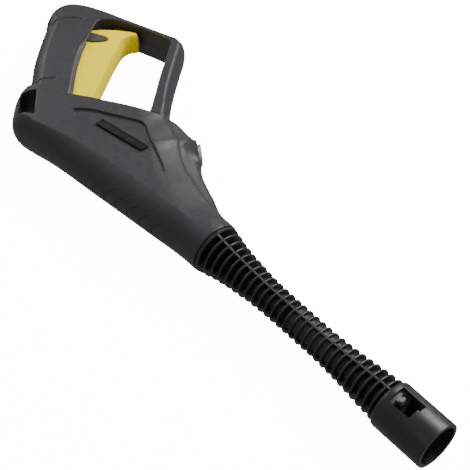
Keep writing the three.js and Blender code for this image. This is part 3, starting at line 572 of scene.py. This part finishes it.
def build_housing():
    x, y, X, Y, S, d2, hole, solid = housing_field()
    z = np.arange(-STEP * 6, 23.5, STEP, dtype=np.float32)
    Z = z[None, None, :]
    body = np.maximum(from_section(solid[0], Z), rim(solid[2][0], Z, 2.2, 20.6 + 0.8 * step((X + 262) / 34.0)[:, :, None]))
    loop = np.maximum(from_section(solid[1], Z), rim(solid[2][1], Z, 2.0, 16.8))
    loop = np.maximum(loop, rim(solid[2][2], Z, 2.4, 16.6))
    loop = np.maximum(loop, rim(solid[2][3], Z, 1.0, 17.0))
    D = np.minimum(body, loop)
    blend = np.clip(1.4 - np.abs(body - loop), 0, None)
    D = (D - blend * blend * 0.18).astype(np.float32)
    tubes = []
    # six grooves across the top, each curving towards the barrel
    for xi in (-333, -321, -309, -296.5, -284, -271):
        zz = np.linspace(-2.0, 14.5, 56)
        xs = xi + 0.060 * np.clip(zz, 0, None) ** 2
        pts = []
        for px, pz in zip(xs, zz):
            i0 = np.searchsorted(x, px) - 1
            w = (px - x[i0]) / STEP
            col = S[i0] * (1 - w) + S[i0 + 1] * w
            j = np.nonzero(col > pz * pz)[0][0]
            s0, s1 = col[j - 1], col[j]
            yy = y[j - 1] + (pz * pz - s0) / (s1 - s0) * STEP
            n = np.array([0.06, -(s1 - s0) / STEP, 2 * pz])
            n /= np.linalg.norm(n)
            pts.append(np.array((px, yy, pz)) + 0.12 * n)
        tubes.append(np.array(pts))
    outer = D.copy()
    # hollow
    h = np.sqrt(np.maximum(S, 0))
    C = np.minimum(np.sign(h - 2.8) * (h - 2.8) ** 2, (d2 - 2.9) * 12.0)
    C = np.where(X > -229.6, -50.0, C).astype(np.float32)
    cx, cy = np.gradient(C, STEP)
    Dc = np.clip((Z * Z - C[:, :, None]) / (np.sqrt((cx * cx + cy * cy)[:, :, None] + 4 * Z * Z) + 0.6), -4, 4).astype(np.float32)
    dW = -signed(X, Y, TRIGGER_WAY, False)[:, :, None]
    Dc = np.minimum(Dc, np.maximum(dW, Z - 11.3))
    dK = -signed(X, Y, LOCK_WAY, False)[:, :, None]
    Dc = np.minimum(Dc, np.maximum(dK, Z - 13.9))
    D = np.maximum(D, -Dc)
    # walls of the strap slot, screw bosses, hinge bosses and the hose inlet's hub
    dR = signed(X, Y, REAR_SLOT, False)[:, :, None]
    wall = np.maximum(outer, -(dR + 2.3))
    D = np.minimum(D, wall)
    for sx, sy in SCREWS:
        b = Box(x, y, z, (sx - 6, sy - 6, -2), (sx + 6, sy + 6, 20))
        i = b.i[0], b.i[1], b.i[2]
        D[i] = np.minimum(D[i], np.maximum(rod_field(b.P, (sx, sy, -3), (sx, sy, 19), 4.2), outer[i]))
    b = Box(x, y, z, (PIVOT[0] - 7, PIVOT[1] - 7, 9), (PIVOT[0] + 7, PIVOT[1] + 7, 22))
    i = b.i[0], b.i[1], b.i[2]
    D[i] = np.minimum(D[i], rod_field(b.P, (PIVOT[0], PIVOT[1], 11.6), (PIVOT[0], PIVOT[1], 19), 5.4))
    D[i] = np.maximum(D[i], -rod_field(b.P, (PIVOT[0], PIVOT[1], 0), (PIVOT[0], PIVOT[1], 15.3), 2.6))
    q = lambda t: (INLET[0] + t * INLET_DIR[0], INLET[1] + t * INLET_DIR[1], 0)
    b = Box(x, y, z, (-345, 5, -3), (-280, 85, 23))
    i = b.i[0], b.i[1], b.i[2]
    t = (b.P[0] - INLET[0]) * INLET_DIR[0] + (b.P[1] - INLET[1]) * INLET_DIR[1]
    across = np.hypot(-(b.P[0] - INLET[0]) * INLET_DIR[1] + (b.P[1] - INLET[1]) * INLET_DIR[0], b.P[2])
    hub = np.maximum((across - (11.4 - 9.0 * np.clip(-t / 24.0, 0, 1) ** 1.2)) * 0.92, np.maximum(t + 0.6, -24 - t))
    shell_i = D[i]
    blend = np.clip(5.0 - np.abs(outer[i] - hub), 0, None) ** 2 / 20.0
    D[i] = np.where(hub < 3.5, np.minimum(shell_i, np.minimum(outer[i], hub) - blend), shell_i)
    D[i] = np.maximum(D[i], -rod_field(b.P, q(-0.6), q(32), 12.7))
    D[i] = np.maximum(D[i], -rod_field(b.P, q(-45), q(30), 9.35))
    # through slot and front bore
    D = np.maximum(D, dR)
    b = Box(x, y, z, (-242, -20, -3), (-224, 20, 22))
    i = b.i[0], b.i[1], b.i[2]
    D[i] = np.maximum(D[i], -rod_field(b.P, (-250, 0, 0), (-220, 0, 0), 14.9))
    D = np.maximum(D, (X + 226.0)[:, :, None])
    D = np.maximum(D, -(Z + 3.4 * STEP)).astype(np.float32)
    left, right = D, D.copy()
    for sx, sy in SCREWS:
        b = Box(x, y, z, (sx - 6, sy - 6, -2), (sx + 6, sy + 6, 24))
        i = b.i[0], b.i[1], b.i[2]
        left[i] = np.maximum(left[i], -rod_field(b.P, (sx, sy, -3), (sx, sy, 12), 1.55))
        right[i] = np.maximum(right[i], -rod_field(b.P, (sx, sy, -3), (sx, sy, 40), 1.9))
        t = 9 if math.hypot(sx + 257, sy) < 25 else 10
        right[i] = np.maximum(right[i], -rod_field(b.P, (sx, sy, t), (sx, sy, 40), 3.7))
    obs = []
    for name, F, flip in (("shell_left", left, False), ("shell_right", right, True)):
        v, f = surface_nets(F, (x[0], y[0], z[0]), STEP)
        if flip:
            v[:, 2] *= -1
            f = f[:, ::-1]
        ob = mesh_object(name, v, f, M_HOUSING, 40)
        decimate(ob, 0.55)
        lo, hi = (-9, 0.16) if not flip else (-0.16, 9)
        slab = prism("slab", [(-600, -120), (-180, -120), (-180, 220), (-600, 220)], lo, hi, M_HOUSING)
        boolean(ob, slab, "DIFFERENCE")
        for t in tubes:
            t = t * (1, 1, -1 if flip else 1)
            boolean(ob, sweep("groove", t, 0.62, M_HOUSING), "DIFFERENCE")
        weigh(ob, 38)
        obs.append(ob)
    return obs


left_ob, right_ob = build_housing()
for ob, node in ((left_ob, "left_housing_shell"), (right_ob, "right_housing_shell")):
    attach(ob, "housing")
    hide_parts(node)


# ------------------------------------------------------------ turned pieces
def lathe(name, profile, segments, material, origin=(0, 0, 0), axis=(1, 0, 0), angle=32.0):
    """A turned piece: [t, r] pairs along the axis, the profile closing on itself or on the axis."""
    prof = np.array(profile, float)
    ax = np.array(axis, float)
    ax /= np.linalg.norm(ax)
    u = np.cross(ax, (0, 0, 1))
    if np.linalg.norm(u) < 1e-6:
        u = np.array((1.0, 0, 0))
    u /= np.linalg.norm(u)
    w = np.cross(ax, u)
    bm = bmesh.new()
    rings = []
    for t, r in prof:
        c = np.array(origin, float) + ax * t
        if r < 1e-6:
            rings.append([bm.verts.new(to_row(c))])
        else:
            rings.append([bm.verts.new(to_row(c + r * (math.cos(a) * u + math.sin(a) * w)))
                          for a in np.linspace(0, 2 * math.pi, segments, endpoint=False)])
    n = len(rings)
    on_axis = prof[0, 1] < 1e-6
    for i in range(n - 1 if on_axis else n):
        a, b = rings[i], rings[(i + 1) % n]
        for j in range(segments):
            k = (j + 1) % segments
            if len(a) == 1 and len(b) == 1:
                continue
            if len(a) == 1:
                bm.faces.new((a[0], b[j], b[k]))
            elif len(b) == 1:
                bm.faces.new((a[j], b[0], a[k]))
            else:
                bm.faces.new((a[j], b[j], b[k], a[k]))
    bmesh.ops.recalc_face_normals(bm, faces=bm.faces)
    me = bpy.data.meshes.new(name)
    bm.to_mesh(me)
    bm.free()
    ob = bpy.data.objects.new(name, me)
    bpy.context.scene.collection.objects.link(ob)
    me.materials.append(material)
    shade(ob, angle)
    return ob


RIB_R = [[-222, 20.5], [-211, 17.9], [-200, 16], [-190, 15], [-180, 13.8], [-170, 13.1], [-155, 12.7], [-115, 12.6],
         [-103, 12.9], [-90, 13.7], [-80, 14.5], [-72, 15.3], [-63, 16.2], [-49, 17.3]]


def rib_radius(x):
    return float(np.interp(x, [p[0] for p in RIB_R], [p[1] for p in RIB_R]))


def build_barrel():
    pr = [[-241, 5.6], [-241, 17], [-230, 17], [-230, 14.5], [-225.6, 14.5], [-225.6, 20.2], [-225.2, 20.6], [-223.1, 20.6], [-222.6, 20.1]]
    pitch = 6.45
    for i in range(27):
        x = -217.2 + pitch * i
        r = rib_radius(x)
        core = 8.6 if x < -146 else min(10.4, r - 2)
        if i == 0:
            pr.append([-222.6, core])
        w = 1.05
        pr.append([x - w - 0.45, core])
        pr.append([x - w, core + 0.5])
        for a in np.linspace(180, 0, 8):
            pr.append([x + w * math.cos(math.radians(a)), r - w * 0.95 + w * 0.95 * math.sin(math.radians(a))])
        pr.append([x + w, core + 0.5])
        pr.append([x + w + 0.45, core])
    pr += [[-46.6, 10.4], [-46.6, 17.0], [-46.2, 17.8], [-44.9, 18.8], [-43.6, 19.0], [-0.7, 19.0], [-0.15, 18.75], [0, 18.3],
           [0, 16.3], [-0.6, 15.8], [-43, 15.8], [-43, 9.2], [-62, 9.2], [-62, 5.6]]
    ob = lathe("barrel", pr, 96, M_BARREL, angle=35)
    for k in range(4):
        a = math.radians(90 * k)
        top = [(x, rib_radius(x) - 0.35) for x in (-222.8, -217, -211, -205, -200, -190, -180, -170, -155, -115, -103, -90, -80, -72, -63, -49, -46.3)]
        out = [(-222.8, 7.5)] + top + [(-46.3, 9.5)]
        web = prism("web", out, -0.8, 0.8, M_BARREL)
        c = to_row((0, 0, 0))
        R = Matrix.Translation(c) @ Matrix.Rotation(a, 4, "X") @ Matrix.Translation(-Vector(c))
        web.data.transform(R)
        boolean(ob, web, "UNION")
    for s in (1, -1):
        pts = [(-41, 7.6), (-41, -5.6), (-40, -7.8), (-29.5, -7.8), (-28.4, -7.4), (-22.4, -7.4), (-21.9, -6.2), (-21.9, 0.6), (-20, 0.9), (-20, 7.6)]
        cut = prism("cut", pts, min(8 * s, 30 * s), max(8 * s, 30 * s), M_BARREL)
        boolean(ob, cut, "DIFFERENCE")
    shade(ob, 35)
    return ob


barrel = build_barrel()
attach(barrel, "housing")
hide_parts("ribbed_barrel")


# ------------------------------------------------- plates with rounded edges
def rounded_plate(name, outline, half, R, H, material, grid=0.5, holes=(), cuts=(), dish=None, ratio=0.6, smooth=True, z_shift=0.0, angle=40):
    p = smooth_line(outline, True) if smooth else np.array(outline, float)
    x = np.arange(p[:, 0].min() - 3, p[:, 0].max() + 3, grid, dtype=np.float32)
    y = np.arange(p[:, 1].min() - 3, p[:, 1].max() + 3, grid, dtype=np.float32)
    X, Y = np.meshgrid(x, y, indexing="ij")
    d = line_distance(X, Y, p, True) * np.where(inside(X, Y, p), 1, -1)
    S = section(d, R, H, half)
    if dish is not None:
        h = np.sqrt(np.maximum(S, 0)) - dish(X, Y, d)
        S = np.where(S > 2, h * h, S)
    z = np.arange(-half - 2, half + 2, grid, dtype=np.float32)
    gx, gy = np.gradient(S, grid)
    Z = z[None, None, :]
    D = np.clip((Z * Z - S[:, :, None]) / (np.sqrt((gx * gx + gy * gy)[:, :, None] + 4 * Z * Z) + 0.5), -3, 3)
    P = np.meshgrid(x, y, z, indexing="ij")
    for a, b, r in holes:
        D = np.maximum(D, -rod_field(P, a, b, r))
    for poly, z0, z1 in cuts:
        q = -signed(X, Y, poly, True)[:, :, None]
        D = np.maximum(D, -np.maximum(np.maximum(q, z0 - Z), Z - z1))
    v, f = surface_nets(D, (x[0], y[0], z[0]), grid)
    v[:, 2] += z_shift
    ob = mesh_object(name, v, f, material, angle)
    if ratio < 1:
        decimate(ob, ratio)
        shade(ob, angle)
    return ob


def grow(pts, d):
    p = np.array(pts, float)
    a, b = np.roll(p, 1, axis=0), np.roll(p, -1, axis=0)
    u = (p - a) / np.linalg.norm(p - a, axis=1)[:, None]
    v = (b - p) / np.linalg.norm(b - p, axis=1)[:, None]
    s = 1 if np.sum(p[:, 0] * b[:, 1] - b[:, 0] * p[:, 1]) > 0 else -1
    n = u + v
    n = np.stack([n[:, 1], -n[:, 0]], 1)
    n /= np.linalg.norm(n, axis=1)[:, None]
    k = np.maximum(0.5, n[:, 0] * u[:, 1] - n[:, 1] * u[:, 0])
    return [tuple(q) for q in p + s * d * n / k[:, None]]


def build_trigger():
    def dish(X, Y, d):
        # not passed to the plate, and zero everywhere: the foot's side is not stepped back from the lever's
        return 0.0 * X
    return rounded_plate("trigger_lever", TRIGGER, 10.5, 2.4, 11.0, M_TRIGGER, grid=0.6,
                         holes=[((PIVOT[0], PIVOT[1], -30), (PIVOT[0], PIVOT[1], 30), 2.6)],
                         cuts=[(grow(LOCK, 0.35), -30, 30)])


trig = build_trigger()
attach(trig, "trigger_lever")
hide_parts("trigger")
lock = rounded_plate("lock_button", LOCK, 10.95, 1.0, 11.3, M_LOCK, grid=0.4, z_shift=0.05)
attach(lock, "lock_bolt")
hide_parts("safety_lock")


def build_badge():
    """A blank name badge: a raised rim round a sunken field."""
    levels = [(0.0, 19.25), (0.0, 20.05), (0.35, 20.4), (1.15, 20.4), (1.5, 19.95)]
    bm = bmesh.new()
    rings = []
    for d, zz in levels:
        rings.append([bm.verts.new(to_row((q[0], q[1], zz))) for q in grow(BADGE, -d)])
    bm.faces.new(rings[0])
    bm.faces.new(rings[-1])
    for a, b in zip(rings, rings[1:]):
        for i in range(4):
            j = (i + 1) % 4
            bm.faces.new((a[i], a[j], b[j], b[i]))
    bmesh.ops.recalc_face_normals(bm, faces=bm.faces)
    me = bpy.data.meshes.new("badge")
    bm.to_mesh(me)
    bm.free()
    ob = bpy.data.objects.new("badge", me)
    bpy.context.scene.collection.objects.link(ob)
    me.materials.append(M_BADGE)
    return ob


badge = build_badge()
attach(badge, "housing")
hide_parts("badge_plate")

# hose inlet ring
inlet = lathe("inlet_socket", [[-32.5, 3.6], [-32.5, 7.9], [-22, 7.9], [-22, 9.0], [1.7, 9.0], [2.2, 8.5], [2.2, 7.1], [1.6, 6.6], [-18, 6.6], [-18, 3.6]],
              72, M_NICKEL, origin=(INLET[0], INLET[1], 0), axis=(INLET_DIR[0], INLET_DIR[1], 0))
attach(inlet, "housing")
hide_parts("hose_inlet_socket")

# bayonet insert at the bottom of the lance socket
insert = lathe("socket_insert", [[-42.6, 9.6], [-42.6, 15.4], [-39.0, 15.4], [-38.5, 14.9], [-38.5, 10.1], [-39.0, 9.6]], 72, M_INSERT)
for s in (1, -1):
    t = [(-40, -2.2), (-33.9, -2.2), (-33.5, -1.8), (-33.5, 1.8), (-33.9, 2.2), (-40, 2.2)]
    boolean(insert, prism("t", t, min(12.2 * s, 15.2 * s), max(12.2 * s, 15.2 * s), M_INSERT), "UNION")
    t = [(-36, -2.2), (-34, -2.2), (-33.6, -1.8), (-33.6, 1.8), (-34, 2.2), (-36, 2.2)]
    boolean(insert, prism("t", t, min(14 * s, 17.4 * s), max(14 * s, 17.4 * s), M_INSERT), "UNION")
shade(insert, 32)
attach(insert, "housing")
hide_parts("bayonet_insert")


# ---------------------------------------------------------- floor and lights
def floor_material():
    mat = bpy.data.materials.new("floor_white")
    nt, bs = nodes_of(mat)
    bs.inputs["Base Color"].default_value = (0.92, 0.92, 0.92, 1)
    bs.inputs["Roughness"].default_value = 0.75
    bs.inputs["Emission Color"].default_value = (1, 1, 1, 1)
    bs.inputs["Emission Strength"].default_value = 14.0
    return mat


bpy.ops.mesh.primitive_plane_add(size=12, location=(0, 0, -0.0003))
floor = bpy.context.active_object
floor.name = "floor"
floor.data.materials.append(floor_material())
floor.visible_diffuse = False
floor.visible_glossy = False

world = bpy.data.worlds.new("studio")
bpy.context.scene.world = world
world.use_nodes = True
world.node_tree.nodes["Background"].inputs[0].default_value = (1, 1, 1, 1)
world.node_tree.nodes["Background"].inputs[1].default_value = 0.36


def area(name, direction, distance, size, power, target=(-0.08, 0.0, 0.02)):
    d = Vector(direction).normalized()
    li = bpy.data.lights.new(name, "AREA")
    li.shape = "RECTANGLE"
    li.size, li.size_y = size
    li.energy = power
    ob = bpy.data.objects.new(name, li)
    bpy.context.scene.collection.objects.link(ob)
    ob.location = Vector(target) + d * distance
    ob.rotation_euler = d.to_track_quat("Z", "Y").to_euler()
    return ob


area("key", (0.15, 0.8, 0.75), 1.5, (1.2, 0.9), 34)
area("left", (-0.9, -0.05, 0.55), 1.4, (0.9, 0.9), 7)
area("front", (0.5, -0.7, 0.8), 1.8, (1.0, 1.0), 2)

# -------------------------------------------------------------------- camera
cam_data = bpy.data.cameras.new("camera")
cam_data.sensor_width = 36
cam_data.sensor_fit = "HORIZONTAL"
cam_data.lens = 107.23
cam_data.clip_start = 0.01
cam_data.clip_end = 50
cam_data.dof.use_dof = False
cam = bpy.data.objects.new("camera", cam_data)
bpy.context.scene.collection.objects.link(cam)
right, up, back = Vector((0.6636, 0.7481, 0)), Vector((-0.5797, 0.5142, 0.6320)), Vector((0.4728, -0.4194, 0.7749))
m = Matrix((right, up, back)).transposed().to_4x4()
m.translation = Vector((0.524234, -0.459356, 0.834348))
cam.matrix_world = m
bpy.context.scene.camera = cam
